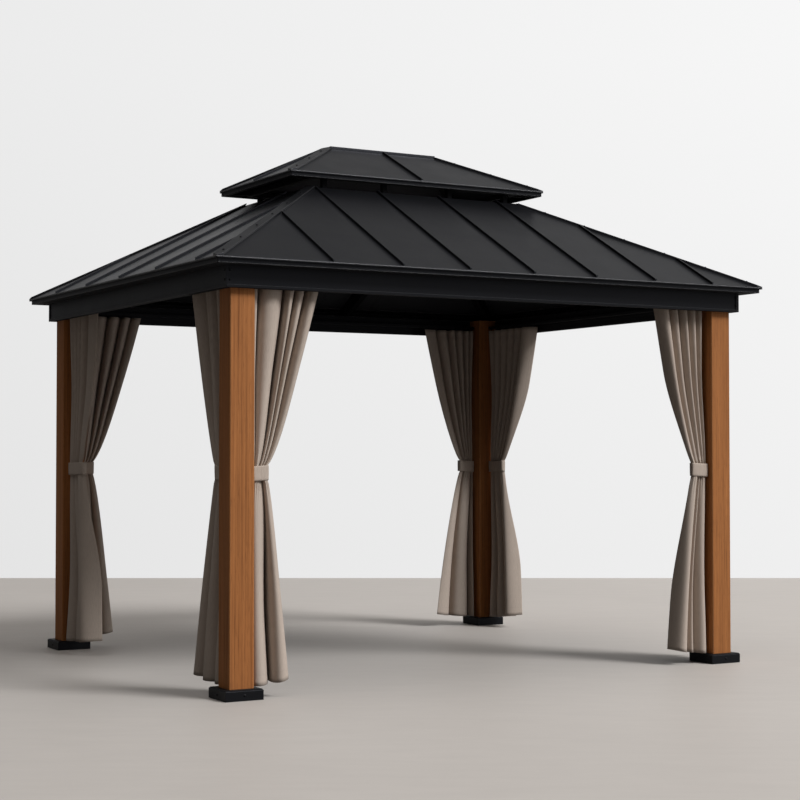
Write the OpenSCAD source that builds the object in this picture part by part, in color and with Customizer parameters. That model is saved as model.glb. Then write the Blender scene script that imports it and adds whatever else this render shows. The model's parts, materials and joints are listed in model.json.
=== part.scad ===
// Hardtop garden gazebo with a two-tier standing-seam roof, timber-look posts and tied-back curtains.
// X runs along the long side, the front faces -Y and the feet stand on z = 0. Sizes are in millimetres.

/* [Posts and feet] */
// Distance between post centres along the long side
post_span_x = 3170; // [2900:10:3400]
// Distance between post centres along the short side
post_span_y = 2620; // [2450:10:2800]
// Width of the square posts
post_w = 140; // [120:1:150]
// Wall thickness of the posts
post_wall = 3; // [2:0.5:5]
// Bevel along the post edges
post_bevel = 4; // [2:0.5:8]
// Width of the square foot covers
foot_w = 214; // [206:1:230]
// Height of the foot covers
foot_h = 57; // [45:1:80]
// Bevel round the top of the foot covers
foot_bevel = 7; // [4:0.5:12]
// Sheet thickness of the foot covers
foot_wall = 3; // [2:0.5:4]
// Thickness of the anchor plates
plate_t = 6; // [5:0.5:10]
// Distance between the anchor bolts
bolt_spacing = 168; // [165:1:172]
// Diameter of the anchor bolt holes
bolt_d = 12; // [10:0.5:12]

/* [Beams] */
// Height of the underside of the beams above the ground
beam_z = 2118; // [2050:1:2250]
// Height of the beams
beam_h = 113; // [100:1:130]
// Thickness of the beams with their lip
beam_t = 40; // [34:1:48]
// Wall thickness of the beams
beam_wall = 3; // [2:0.5:5]
// Height of the lip along the lower edge of the beams
lip_h = 14; // [10:1:20]
// How far the lip stands out
lip_t = 4; // [3:0.5:6]
// Leg of the angle strips on the beam corners
corner_leg = 24; // [18:1:36]

/* [Main roof] */
// Overhang of the roof beyond the beams
overhang = 100; // [80:1:130]
// Height of the eave above the beams
eave_h = 34; // [30:1:40]
// Rise of the main roof from the eave to the vent
roof_rise = 564; // [500:1:620]
// Thickness of the roof sheet
sheet_t = 2; // [1.5:0.25:3]
// Height of the drip edge along the eaves
drip_h = 9; // [6:0.5:14]
// Height of the standing seams
seam_h = 13; // [11:0.5:18]
// Width of the standing seams
seam_w = 10; // [10:0.5:14]
// Spacing of the seams on the long slopes
long_pan = 423; // [400:1:440]
// Distance from the corner to the first seam on the long slopes
long_first = 668; // [600:1:680]
// Spacing of the seams on the short slopes
short_pan = 559; // [500:1:570]
// Distance from the corner to the first seam on the short slopes
short_first = 268; // [240:1:300]
// Half width of the hip and ridge caps
cap_half = 28; // [24:1:36]
// Metal thickness of the hip and ridge caps
cap_t = 3; // [2:0.5:5]

/* [Upper roof] */
// Length of the upper roof
upper_len = 1770; // [1650:10:1900]
// Width of the upper roof
upper_wid = 1020; // [940:10:1120]
// Length of the ridge
ridge_len = 750; // [650:10:850]
// Rise of the upper roof from its eave to the ridge
upper_rise = 248; // [220:1:280]
// Overhang of the upper roof beyond the vent along X
upper_over_x = 155; // [120:1:180]
// Overhang of the upper roof beyond the vent along Y
upper_over_y = 55; // [50:1:80]
// Clear height of the vent below the upper eave
vent_gap = 50; // [40:1:70]
// Height of the upper eave
upper_eave_h = 33; // [28:1:40]

/* [Curtains] */
// Width of a drawn-back long-side curtain at the rail
long_top = 380; // [340:5:460]
// Width of a long-side curtain at its tieback
long_waist = 105; // [95:1:140]
// Width of a long-side curtain at its hem
long_hem = 240; // [200:5:290]
// Width of a drawn-back short-side curtain at the rail
short_top = 500; // [440:5:580]
// Width of a short-side curtain at its tieback
short_waist = 170; // [145:1:210]
// Width of a short-side curtain at its hem
short_hem = 340; // [300:5:420]
// Height of the hems above the foot covers
hem_gap = 5; // [3:1:45]
// Height of the middle of the tiebacks
tie_z = 1165; // [1050:5:1300]
// Height of the tieback bands
tie_h = 78; // [60:1:90]
// Depth of the folds at the rail and at the hem
fold_depth = 62; // [50:1:70]
// Number of folds
folds = 6; // [4:1:7]

/* [Hidden] */

charcoal = "#2c2d2f";
wood = "#a8693a";
steel = "#4a4c4f";
taupe = "#9b8b7d";

CORNERS = [[-1, -1], [1, -1], [-1, 1], [1, 1]];
px = post_span_x / 2;
py = post_span_y / 2;
beam_in_x = px + post_w / 2;
beam_in_y = py + post_w / 2;
beam_out_x = beam_in_x + beam_t;
beam_out_y = beam_in_y + beam_t;
beam_top = beam_z + beam_h;
eave_x = beam_out_x + overhang;
eave_y = beam_out_y + overhang;
eave_z = beam_top + eave_h;

// Vent opening at the top of the main roof and the ring of tube round it
upper_x = upper_len / 2;
upper_y = upper_wid / 2;
ridge_half = ridge_len / 2;
vent_x = upper_x - upper_over_x;
vent_y = upper_y - upper_over_y;
vent_z = eave_z + roof_rise;
ring_w = 90;
ring_ledge = 30;
upper_bottom = vent_z + vent_gap;
upper_z = upper_bottom + upper_eave_h;

// Plan length of the slopes, up to the vent or up to the ridge
long_run = eave_y - vent_y;
short_run = eave_x - vent_x;
upper_long_run = upper_y;
upper_short_run = upper_x - ridge_half;

// Each roof tier: half length, half width, eave height, and the pitches of its long and short slopes
main_roof = [eave_x, eave_y, eave_z, roof_rise / long_run, roof_rise / short_run];
upper_roof = [upper_x, upper_y, upper_z, upper_rise / upper_long_run, upper_rise / upper_short_run];

// Folded eave trims: inset of the web, flanges and metal thickness
trim_inset = 13;
trim_t = 2.5;
trim_back = 2;
trim_sole = overhang + beam_t - trim_inset - trim_back;
trim_top = 40;
upper_trim_inset = 8;
upper_trim_sole = 25;
upper_trim_top = 30;

// Rafters stand on the sole of the eave trims and run up to the vent ring
rafter_gap = 2;
rafter_inset = trim_inset + trim_top + rafter_gap;
rafter_depth = 88;
rafter_w = 40;
hip_rafter_w = 50;
rafter_x = 500;

// Frame of the upper roof, whose hip rafters reach down to the middle of its ring and whose struts
// stand in from the corners of the vent
tube = 30;
strut_inset = 80;
upper_ring_z = upper_bottom + trim_t;
upper_rafter_inset = upper_trim_inset + upper_trim_top + rafter_gap;
upper_rafter_drop = upper_z + upper_roof[4] * upper_over_x - upper_ring_z - tube / 2;
upper_rafter_depth = upper_rafter_drop / stretch(upper_roof[4]);

// Gap between neighbouring sheets under the caps, and how far the seams stop short of the hips
hip_gap = 3;
mitre_gap = 0.3;
seam_clear = 4;
seam_stop = cap_half + seam_clear;
seam_hook = 8;
seam_play = 2;

// Room between the top of a cap and the hip or ridge line below it
cap_play = 0.5;
tall = 4000;
past = 60;

// Seam places along each slope, seen from outside: counted from the left corner on the long slopes
// and from the right corner on the short ones
seam_margin = 120;
long_seams = [for (x = [-eave_x + long_first : long_pan : eave_x - seam_margin]) x];
short_count = floor((2 * eave_y - short_first - seam_margin) / short_pan);
short_seams = [for (i = [short_count : -1 : 0]) eave_y - short_first - i * short_pan];

// Curtain rail on the inner face of the beams: height of its track and distance from the beam
rail_up = 50;
rail_z = beam_z + rail_up;
rail_off = 50;
rail_x = beam_in_x - rail_off;
rail_y = beam_in_y - rail_off;
track_w = 26;
track_h = 18;
track_t = 3;
track_slot = 8;
rail_flange = 44;

// Curtains hang a little clear of the posts and the foot covers, and are drawn in at the tiebacks
hem_z = foot_h + hem_gap;
curtain_gap = 8;
cloth_t = 9;
tie_t = 3;
tie_play = 0.6;
waist_depth = 26;
tie_margin = 4;
tie_low = tie_z - tie_h / 2 - tie_margin;
tie_high = tie_z + tie_h / 2 + tie_margin;
sweep = 0.75;
full_fold = 500;
steps_per_fold = 4;
fold_steps = folds * steps_per_fold;
below_levels = 4;
above_levels = 5;

// Length along a slope, or height across its thickness, for one unit measured in plan or square to it
function stretch(p) = sqrt(1 + p * p);

// Bar along the z axis with a gabled top at height z over half, and its planes carried on past that
module gable(half, z, p, length) {
    linear_extrude(length, center = true)
        polygon([
            [-half - past, 0], [half + past, 0], [half + past, z - p * past],
            [0, z + p * half], [-half - past, z - p * past]
        ]);
}

// Everything below a roof's four planes, which are raised square to themselves by t
module under_planes(roof, t) {
    intersection() {
        rotate([90, 0, 90])
            gable(roof[1], roof[2] + t * stretch(roof[3]), roof[3], 2 * (roof[0] + past));
        rotate([90, 0, 0])
            gable(roof[0], roof[2] + t * stretch(roof[4]), roof[4], 2 * (roof[1] + past));
    }
}

// Upright block in the middle of the plan
module block(hx, hy, low, high) {
    translate([-hx, -hy, low])
        cube([2 * hx, 2 * hy, high - low]);
}

// Layer that follows a roof, from low to high above its planes and set back from its eaves
module roof_layer(roof, inset, low, high) {
    difference() {
        intersection() {
            under_planes(roof, high);
            block(roof[0] - inset, roof[1] - inset, 0, tall);
        }
        under_planes(roof, low);
    }
}

// Upright slab along the hip that rises from the front left corner, between two runs of the long slope
module hip_slab(roof, width, start, end) {
    k = roof[3] / roof[4];
    translate([-roof[0], -roof[1], 0])
        rotate([0, 0, atan2(1, k)])
            translate([start * stretch(k), -width / 2, 0])
                cube([(end - start) * stretch(k), width, tall]);
}

// Bar along the same hip and between the same runs, from low to high above the hip line
module hip_bar(roof, width, low, high, start, end) {
    k = roof[3] / roof[4];
    climb = roof[3] / stretch(k);
    a = start * stretch(k);
    b = end * stretch(k);
    translate([-roof[0], -roof[1], roof[2]])
        rotate([90, 0, atan2(1, k)])
            linear_extrude(width, center = true)
                polygon([
                    [a, climb * a + low], [b, climb * b + low],
                    [b, climb * b + high], [a, climb * a + high]
                ]);
}

// Upright prism over one slope in plan, whose hips lean in by k for each unit of run and are set back by gap
module slope_prism(half_len, half_run, k, run, gap) {
    back = gap * stretch(k);
    top = min(run, (half_len - back - 1) / k);
    linear_extrude(tall)
        polygon([
            [-half_len + back, -half_run], [half_len - back, -half_run],
            [half_len - back - k * top, -half_run + top], [-half_len + back + k * top, -half_run + top]
        ]);
}

// Extrudes a profile of the x and z axes up a slope that faces -Y
module up_slope(half_run, z, p, run) {
    length = run * stretch(p) + past;
    translate([0, -half_run, z])
        rotate([atan(p), 0, 0])
            translate([0, length, 0])
                rotate([90, 0, 0])
                    linear_extrude(length + past)
                        children();
}

// Turned-up edge on the left of a pan, covered by its neighbour's hook
module seam_upstand(x) {
    translate([x - sheet_t / 2, -sheet_t])
        square([sheet_t, seam_h - seam_play]);
}

// Hooked edge on the right of a pan
module seam_hook_profile(x) {
    l = x - seam_w / 2;
    r = x + seam_w / 2;
    polygon([
        [l, -sheet_t], [l, seam_h], [r, seam_h], [r, seam_h - seam_hook],
        [r - sheet_t, seam_h - seam_hook], [r - sheet_t, seam_h - sheet_t],
        [l + sheet_t, seam_h - sheet_t], [l + sheet_t, -sheet_t]
    ]);
}

// One roof pan between the seams at a and b, where first and last pans end at a hip instead
module roof_pan(half_len, half_run, z, p, k, run, seam_run, a, b, first, last) {
    left = first ? -half_len : a - sheet_t / 2;
    right = last ? half_len : b - seam_w / 2 + sheet_t;
    intersection() {
        up_slope(half_run, z, p, run)
            translate([left, -sheet_t])
                square([right - left, sheet_t]);
        slope_prism(half_len, half_run, k, run, hip_gap);
    }
    intersection() {
        up_slope(half_run, z, p, run) {
            if (!first) seam_upstand(a);
            if (!last) seam_hook_profile(b);
        }
        slope_prism(half_len, half_run, k, seam_run, seam_stop);
    }
}

// A whole slope facing -Y, made of pans that interlock at the seams
module slope(half_len, half_run, z, p, k, run, seam_run, seams) {
    edges = concat([-half_len], seams, [half_len]);
    end = len(seams);
    color(charcoal)
        for (i = [0 : end])
            roof_pan(half_len, half_run, z, p, k, run, seam_run, edges[i], edges[i + 1], i == 0, i == end);
}

// Eave trim facing -Y, with a sole, an upright web, a flange under the sheet and a drip edge at its end
module eave_trim(half_len, half_run, z, p, k, bottom, inset, sole, top, gap) {
    e = -half_run;
    y = e + inset;
    edge = z - sheet_t * stretch(p);
    under = edge + p * inset;
    skin = trim_t * stretch(p);
    color(charcoal)
        intersection() {
            rotate([90, 0, 90])
                linear_extrude(2 * half_len, center = true)
                    polygon([
                        [y, bottom], [y, under - skin], [e + trim_t, edge + p * trim_t - skin],
                        [e + trim_t, edge - drip_h], [e, edge - drip_h], [e, edge],
                        [y + top, under + p * top], [y + top, under + p * top - skin],
                        [y + trim_t, under + p * trim_t - skin],
                        [y + trim_t, bottom + trim_t], [y + sole, bottom + trim_t], [y + sole, bottom]
                    ]);
            slope_prism(half_len, half_run, k, inset + sole + past, gap);
        }
}

// Square with bevelled corners
module bevel_square(w, c) {
    h = w / 2;
    polygon([
        [-h + c, -h], [h - c, -h], [h, -h + c], [h, h - c],
        [h - c, h], [-h + c, h], [-h, h - c], [-h, -h + c]
    ]);
}

module post(sx, sy) {
    color(wood)
        translate([sx * px, sy * py, plate_t])
            linear_extrude(beam_top - plate_t)
                difference() {
                    bevel_square(post_w, post_bevel);
                    bevel_square(post_w - 2 * post_wall, post_bevel);
                }
}

module anchor_plates() {
    side = bolt_spacing + 2 * bolt_d;
    color(steel)
        for (c = CORNERS)
            translate([c[0] * px, c[1] * py, 0])
                difference() {
                    translate([-side / 2, -side / 2, 0])
                        cube([side, side, plate_t]);
                    for (b = CORNERS)
                        translate([b[0] * bolt_spacing / 2, b[1] * bolt_spacing / 2, -1])
                            cylinder(d = bolt_d, h = plate_t + 2, $fn = 48);
                }
}

// Block whose upper edges are bevelled all round
module bevel_block(w, h, c) {
    profile = [[-w / 2, 0], [w / 2, 0], [w / 2, h - c], [w / 2 - c, h], [c - w / 2, h], [-w / 2, h - c]];
    intersection() {
        rotate([90, 0, 0])
            linear_extrude(w, center = true)
                polygon(profile);
        rotate([90, 0, 90])
            linear_extrude(w, center = true)
                polygon(profile);
    }
}

module foot_covers() {
    collar = post_w + 1;
    color(charcoal)
        for (c = CORNERS)
            translate([c[0] * px, c[1] * py, 0])
                difference() {
                    bevel_block(foot_w, foot_h, foot_bevel);
                    translate([0, 0, -foot_wall])
                        bevel_block(foot_w - 2 * foot_wall, foot_h, foot_bevel);
                    translate([-collar / 2, -collar / 2, 0])
                        cube([collar, collar, foot_h + 1]);
                }
}

// Hollow beam along a side facing -Y, mitred at both ends
module beam(out_half, out_run) {
    in_run = out_run - beam_t;
    face = out_run - lip_t;
    color(charcoal)
        intersection() {
            rotate([90, 0, 90])
                linear_extrude(2 * out_half, center = true)
                    difference() {
                        polygon([
                            [-out_run, beam_z], [-out_run, beam_z + lip_h], [-face, beam_z + lip_h],
                            [-face, beam_top], [-in_run, beam_top], [-in_run, beam_z]
                        ]);
                        translate([-face + beam_wall, beam_z + beam_wall])
                            square([beam_t - lip_t - 2 * beam_wall, beam_h - 2 * beam_wall]);
                    }
            slope_prism(out_half, out_run, 1, beam_t, 0);
        }
}

module beam_corner_strips() {
    color(charcoal)
        for (c = CORNERS)
            mirror([c[0] < 0 ? 0 : 1, 0, 0])
                mirror([0, c[1] < 0 ? 0 : 1, 0])
                    translate([-beam_out_x, -beam_out_y, beam_z + lip_h])
                        linear_extrude(beam_h - lip_h)
                            difference() {
                                square(corner_leg);
                                translate([lip_t, lip_t])
                                    square(corner_leg);
                            }
}

// Curtain rail along a side facing -Y: a flange on the beam, an arm and a slotted track below it
module rail(half_len, in_run) {
    y = -in_run + rail_off - track_w / 2;
    rotate([90, 0, 90])
        linear_extrude(2 * half_len, center = true)
            difference() {
                union() {
                    translate([-in_run, rail_z - (rail_flange - track_h) / 2])
                        square([track_t, rail_flange]);
                    translate([-in_run, rail_z + track_h - track_t])
                        square([rail_off, track_t]);
                    translate([y, rail_z])
                        square([track_w, track_h]);
                }
                translate([y + track_t, rail_z + track_t])
                    square([track_w - 2 * track_t, track_h - 2 * track_t]);
                translate([y + (track_w - track_slot) / 2, rail_z - 1])
                    square([track_slot, track_t + 2]);
            }
}

module curtain_rails() {
    color(charcoal)
        for (turn = [0, 180]) {
            rotate([0, 0, turn])
                rail(px - post_w / 2, beam_in_y);
            rotate([0, 0, turn + 90])
                rail(py - post_w / 2, beam_in_x);
        }
}

// Everything between the rafters' upper and lower planes, above the sole of the eave trims
module rafter_space() {
    difference() {
        roof_layer(main_roof, rafter_inset, -sheet_t - rafter_depth, -sheet_t);
        block(eave_x, eave_y, 0, beam_top + trim_t);
        ring_block(0, tall);
    }
}

// Upright block inside the outer faces of the vent ring
module ring_block(low, high) {
    block(vent_x + ring_w - ring_ledge, vent_y + ring_w - ring_ledge, low, high);
}

module hip_rafters() {
    color(steel)
        for (c = CORNERS)
            mirror([c[0] < 0 ? 0 : 1, 0, 0])
                mirror([0, c[1] < 0 ? 0 : 1, 0])
                    intersection() {
                        rafter_space();
                        hip_slab(main_roof, hip_rafter_w, 0, long_run);
                    }
}

module slope_rafters() {
    color(steel)
        for (turn = [0, 180])
            rotate([0, 0, turn]) {
                for (x = [-rafter_x, rafter_x])
                    intersection() {
                        rafter_space();
                        translate([x - rafter_w / 2, -eave_y, 0])
                            cube([rafter_w, long_run, tall]);
                    }
                intersection() {
                    rafter_space();
                    translate([-eave_x, -rafter_w / 2, 0])
                        cube([short_run, rafter_w, tall]);
                }
            }
}

// Ring of tube round the vent, bevelled to the slopes above it
module vent_frame() {
    color(steel)
        difference() {
            intersection() {
                ring_block(vent_z - ring_w, vent_z);
                under_planes(main_roof, -sheet_t);
            }
            block(vent_x - ring_ledge, vent_y - ring_ledge, 0, tall);
        }
}

// Welded frame of the upper roof: struts on the vent ring, a ring of tube, hip rafters and a ridge bar
module upper_frame() {
    color(steel)
        union() {
            for (c = CORNERS, x = [vent_x - strut_inset, vent_x / 3])
                translate([c[0] * (x - tube / 2) - tube / 2, c[1] * (vent_y - tube / 2) - tube / 2, vent_z])
                    cube([tube, tube, upper_ring_z + tube - vent_z]);
            difference() {
                block(vent_x, vent_y, upper_ring_z, upper_ring_z + tube);
                block(vent_x - tube, vent_y - tube, 0, tall);
            }
            intersection() {
                roof_layer(upper_roof, upper_rafter_inset, -sheet_t - upper_rafter_depth, -sheet_t);
                block(upper_x, upper_y, upper_ring_z, tall);
                union() {
                    for (c = CORNERS)
                        mirror([c[0] < 0 ? 0 : 1, 0, 0])
                            mirror([0, c[1] < 0 ? 0 : 1, 0])
                                hip_slab(upper_roof, tube, 0, upper_long_run);
                    block(ridge_half, tube / 2, 0, tall);
                }
            }
        }
}

// Folded cap over a hip: flat on top, with sides that stand on the sheets and a closed end at the eaves
module hip_cap(roof, end) {
    difference() {
        intersection() {
            hip_bar(roof, 2 * cap_half, -cap_half, cap_play + cap_t, -cap_half, end);
            block(roof[0], roof[1], 0, tall);
        }
        intersection() {
            hip_bar(roof, 2 * (cap_half - cap_t), -2 * cap_half, cap_play, -cap_half, end + past);
            block(roof[0] - cap_t, roof[1] - cap_t, 0, tall);
        }
        under_planes(roof, 0);
    }
}

module hip_caps() {
    color(charcoal)
        for (c = CORNERS)
            mirror([c[0] < 0 ? 0 : 1, 0, 0])
                mirror([0, c[1] < 0 ? 0 : 1, 0])
                    hip_cap(main_roof, long_run - seam_clear);
}

module upper_hip_caps() {
    color(charcoal)
        for (c = CORNERS)
            mirror([c[0] < 0 ? 0 : 1, 0, 0])
                mirror([0, c[1] < 0 ? 0 : 1, 0])
                    intersection() {
                        hip_cap(upper_roof, upper_long_run + cap_half);
                        translate([-upper_x, -upper_y, 0])
                            cube([upper_short_run, upper_y - mitre_gap, tall]);
                    }
}

// Folded cap over the ridge, closed at both ends
module ridge_cap() {
    ridge_z = upper_z + upper_rise;
    color(charcoal)
        difference() {
            block(ridge_half, cap_half, ridge_z - cap_half, ridge_z + cap_play + cap_t);
            block(ridge_half - cap_t, cap_half - cap_t, 0, ridge_z + cap_play);
            under_planes(upper_roof, 0);
        }
}

module upper_eaves() {
    k = upper_roof[3] / upper_roof[4];
    for (turn = [0, 180]) {
        rotate([0, 0, turn])
            eave_trim(upper_x, upper_y, upper_z, upper_roof[3], k, upper_bottom, upper_trim_inset,
                upper_trim_sole, upper_trim_top, mitre_gap);
        rotate([0, 0, turn + 90])
            eave_trim(upper_y, upper_x, upper_z, upper_roof[4], 1 / k, upper_bottom, upper_trim_inset,
                upper_trim_sole, upper_trim_top, mitre_gap);
    }
}

module long_eave() {
    eave_trim(eave_x, eave_y, eave_z, main_roof[3], main_roof[3] / main_roof[4], beam_top,
        trim_inset, trim_sole, trim_top, 0);
}

module short_eave() {
    eave_trim(eave_y, eave_x, eave_z, main_roof[4], main_roof[4] / main_roof[3], beam_top,
        trim_inset, trim_sole, trim_top, 0);
}

module long_slope() {
    slope(eave_x, eave_y, eave_z, main_roof[3], main_roof[3] / main_roof[4],
        long_run, long_run, long_seams);
}

module short_slope() {
    slope(eave_y, eave_x, eave_z, main_roof[4], main_roof[4] / main_roof[3],
        short_run, short_run, short_seams);
}

module upper_long_slope() {
    slope(upper_x, upper_y, upper_z, upper_roof[3], upper_roof[3] / upper_roof[4],
        upper_long_run - hip_gap, upper_long_run - seam_stop, [0]);
}

module upper_short_slope() {
    slope(upper_y, upper_x, upper_z, upper_roof[4], upper_roof[4] / upper_roof[3],
        upper_short_run - hip_gap, upper_short_run - seam_stop, [0]);
}

// Width of a curtain at height z: wide at the rail, drawn in at the tieback and loose again at the hem
function curtain_width(z, top, waist, hem) =
    z >= tie_high ? waist + (top - waist) * pow((z - tie_high) / (rail_z - tie_high), sweep)
    : z <= tie_low ? waist + (hem - waist) * pow((tie_low - z) / (tie_low - hem_z), sweep)
    : waist;

// Depth of the folds at height z
function curtain_depth(z) =
    z >= tie_high ? waist_depth + (fold_depth - waist_depth) * min(1, (z - tie_high) / full_fold)
    : z <= tie_low ? waist_depth + (fold_depth - waist_depth) * min(1, (tie_low - z) / full_fold)
    : waist_depth;

// Outline of a curtain at height z: the outer side of the folds out to the free edge, then back inside
function curtain_ring(z, w, depth) = concat(
    [for (i = [0 : fold_steps])
        [w * i / fold_steps, (depth - cloth_t) / 2 * sin(360 * i / steps_per_fold) + cloth_t / 2, z]],
    [for (i = [fold_steps : -1 : 0])
        [w * i / fold_steps, (depth - cloth_t) / 2 * sin(360 * i / steps_per_fold) - cloth_t / 2, z]]
);

// Curtain hanging from the origin's post towards +X
module curtain(top, waist, hem) {
    levels = concat(
        [for (i = [0 : below_levels]) hem_z + (tie_low - hem_z) * i / below_levels],
        [for (i = [0 : above_levels]) tie_high + (rail_z - tie_high) * i / above_levels]
    );
    n = 2 * (fold_steps + 1);
    last = (len(levels) - 1) * n;
    points = [for (z = levels) each curtain_ring(z, curtain_width(z, top, waist, hem), curtain_depth(z))];
    sides = [for (k = [0 : len(levels) - 2], i = [0 : n - 1])
        each [[k * n + i, (k + 1) * n + i, k * n + (i + 1) % n],
              [(k + 1) * n + i, (k + 1) * n + (i + 1) % n, k * n + (i + 1) % n]]];
    bottom = [for (i = [0 : fold_steps - 1]) [i, i + 1, n - 2 - i, n - 1 - i]];
    lid = [for (i = [0 : fold_steps - 1]) [last + n - 1 - i, last + n - 2 - i, last + i + 1, last + i]];
    color(taupe)
        translate([curtain_gap, 0, 0])
            polyhedron(points, concat(sides, bottom, lid));
}

// Outline of a band whose free end is bevelled
module band_outline(length, depth, c) {
    polygon([[0, 0], [length - c, 0], [length, c], [length, depth - c], [length - c, depth], [0, depth]]);
}

// Fabric band round a curtain's waist, flat against the post
module tieback(waist) {
    depth = waist_depth + 2 * (tie_play + tie_t);
    length = curtain_gap + waist + tie_play + tie_t;
    color(taupe)
        translate([0, -depth / 2, tie_z - tie_h / 2])
            linear_extrude(tie_h)
                difference() {
                    band_outline(length, depth, 2 * tie_t);
                    translate([tie_t, tie_t])
                        band_outline(length - 2 * tie_t, depth - 2 * tie_t, tie_t);
                }
}

// Places a curtain or tieback of a long side: sx and sy name its post
module at_long(sx, sy) {
    mirror([sx < 0 ? 0 : 1, 0, 0])
        translate([-px + post_w / 2, sy * rail_y, 0])
            children();
}

// Places a curtain or tieback of a short side: sx and sy name its post
module at_short(sx, sy) {
    mirror([0, sy < 0 ? 0 : 1, 0])
        translate([sx * rail_x, -py + post_w / 2, 0])
            rotate([0, 0, 90])
                children();
}

module long_curtain(sx, sy) {
    at_long(sx, sy)
        curtain(long_top, long_waist, long_hem);
}

module short_curtain(sx, sy) {
    at_short(sx, sy)
        curtain(short_top, short_waist, short_hem);
}

module tiebacks() {
    for (c = CORNERS) {
        at_long(c[0], c[1])
            tieback(long_waist);
        at_short(c[0], c[1])
            tieback(short_waist);
    }
}

module post_front_left() { post(-1, -1); }
module post_front_right() { post(1, -1); }
module post_back_left() { post(-1, 1); }
module post_back_right() { post(1, 1); }
module beam_front() { beam(beam_out_x, beam_out_y); }
module beam_back() { rotate([0, 0, 180]) beam(beam_out_x, beam_out_y); }
module beam_left() { rotate([0, 0, 270]) beam(beam_out_y, beam_out_x); }
module beam_right() { rotate([0, 0, 90]) beam(beam_out_y, beam_out_x); }
module roof_front() { long_slope(); }
module roof_back() { rotate([0, 0, 180]) long_slope(); }
module roof_left() { rotate([0, 0, 270]) short_slope(); }
module roof_right() { rotate([0, 0, 90]) short_slope(); }
module eave_front() { long_eave(); }
module eave_back() { rotate([0, 0, 180]) long_eave(); }
module eave_left() { rotate([0, 0, 270]) short_eave(); }
module eave_right() { rotate([0, 0, 90]) short_eave(); }
module upper_front() { upper_long_slope(); }
module upper_back() { rotate([0, 0, 180]) upper_long_slope(); }
module upper_left() { rotate([0, 0, 270]) upper_short_slope(); }
module upper_right() { rotate([0, 0, 90]) upper_short_slope(); }
module curtain_front_left() { long_curtain(-1, -1); }
module curtain_front_right() { long_curtain(1, -1); }
module curtain_back_left() { long_curtain(-1, 1); }
module curtain_back_right() { long_curtain(1, 1); }
module curtain_left_front() { short_curtain(-1, -1); }
module curtain_left_back() { short_curtain(-1, 1); }
module curtain_right_front() { short_curtain(1, -1); }
module curtain_right_back() { short_curtain(1, 1); }

post_front_left();
post_front_right();
post_back_left();
post_back_right();
anchor_plates();
foot_covers();
beam_front();
beam_back();
beam_left();
beam_right();
beam_corner_strips();
curtain_rails();
hip_rafters();
slope_rafters();
vent_frame();
upper_frame();
roof_front();
roof_back();
roof_left();
roof_right();
hip_caps();
eave_front();
eave_back();
eave_left();
eave_right();
upper_front();
upper_back();
upper_left();
upper_right();
upper_hip_caps();
ridge_cap();
upper_eaves();
curtain_front_left();
curtain_front_right();
curtain_back_left();
curtain_back_right();
curtain_left_front();
curtain_left_back();
curtain_right_front();
curtain_right_back();
tiebacks();
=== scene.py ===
"""Hardtop garden gazebo: finishes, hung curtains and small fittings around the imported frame, in metres."""
import json
import math
import random

import bpy
import numpy as np
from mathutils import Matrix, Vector


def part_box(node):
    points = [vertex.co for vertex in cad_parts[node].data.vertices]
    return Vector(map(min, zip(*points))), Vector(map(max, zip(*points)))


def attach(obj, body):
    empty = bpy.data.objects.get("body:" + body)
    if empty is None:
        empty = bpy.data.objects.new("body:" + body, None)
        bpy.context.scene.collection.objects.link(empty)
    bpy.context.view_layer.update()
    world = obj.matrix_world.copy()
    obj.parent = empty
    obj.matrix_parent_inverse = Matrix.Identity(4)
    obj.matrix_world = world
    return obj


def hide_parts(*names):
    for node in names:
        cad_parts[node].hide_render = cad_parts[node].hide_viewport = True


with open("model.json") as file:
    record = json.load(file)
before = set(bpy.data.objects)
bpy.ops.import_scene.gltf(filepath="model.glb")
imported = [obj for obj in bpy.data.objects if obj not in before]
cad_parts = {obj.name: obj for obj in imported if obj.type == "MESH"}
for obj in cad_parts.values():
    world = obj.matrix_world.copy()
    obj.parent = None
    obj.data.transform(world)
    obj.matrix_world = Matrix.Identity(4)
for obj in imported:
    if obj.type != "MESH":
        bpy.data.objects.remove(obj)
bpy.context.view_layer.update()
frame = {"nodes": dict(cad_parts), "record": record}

# Camera, solved from the photograph's corners
CAMERA_PLACE = (-5.3148, -9.5705, 1.2899)
CAMERA_YAW = math.radians(29.66)
CAMERA_PITCH = math.radians(1.6)
CAMERA_LENS = 78.3
CAMERA_SENSOR = 36.0
VIEW_AHEAD = Vector((math.sin(CAMERA_YAW), math.cos(CAMERA_YAW), 0))
VIEW_RIGHT = Vector((math.cos(CAMERA_YAW), -math.sin(CAMERA_YAW), 0))

# Floor: it lies just under the feet and ends where the pale background begins
FLOOR_BEHIND = 6.45
FLOOR_AROUND = 16.0
FLOOR_DROP = 0.0005
FLOOR_ROUGHNESS = 0.55

# Key light: from the right, turned a little towards the camera
KEY_TURN = math.radians(-26)
KEY_HEIGHT = math.radians(40)
KEY_POWER = 2.35
KEY_SOFTNESS = 0.40

# Wall: its strength on the left, on the right and at its foot, and what is left of it in reflections, on the
# left and above
WALL_LEFT = 0.83
WALL_RIGHT = 0.93
WALL_FOOT = 0.935
MIRROR_LEFT = 0.25
MIRROR_ABOVE = 0.185

# Fill light: a glow from above, with its focus, and weaker light from the right and from before the gazebo
FILL_COLOUR = (1.0, 0.97, 0.94)
FILL_ABOVE = 1.75
FILL_FOCUS = 8.0
FILL_RIGHT = 0.75
FILL_BEFORE = 0.09

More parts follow.
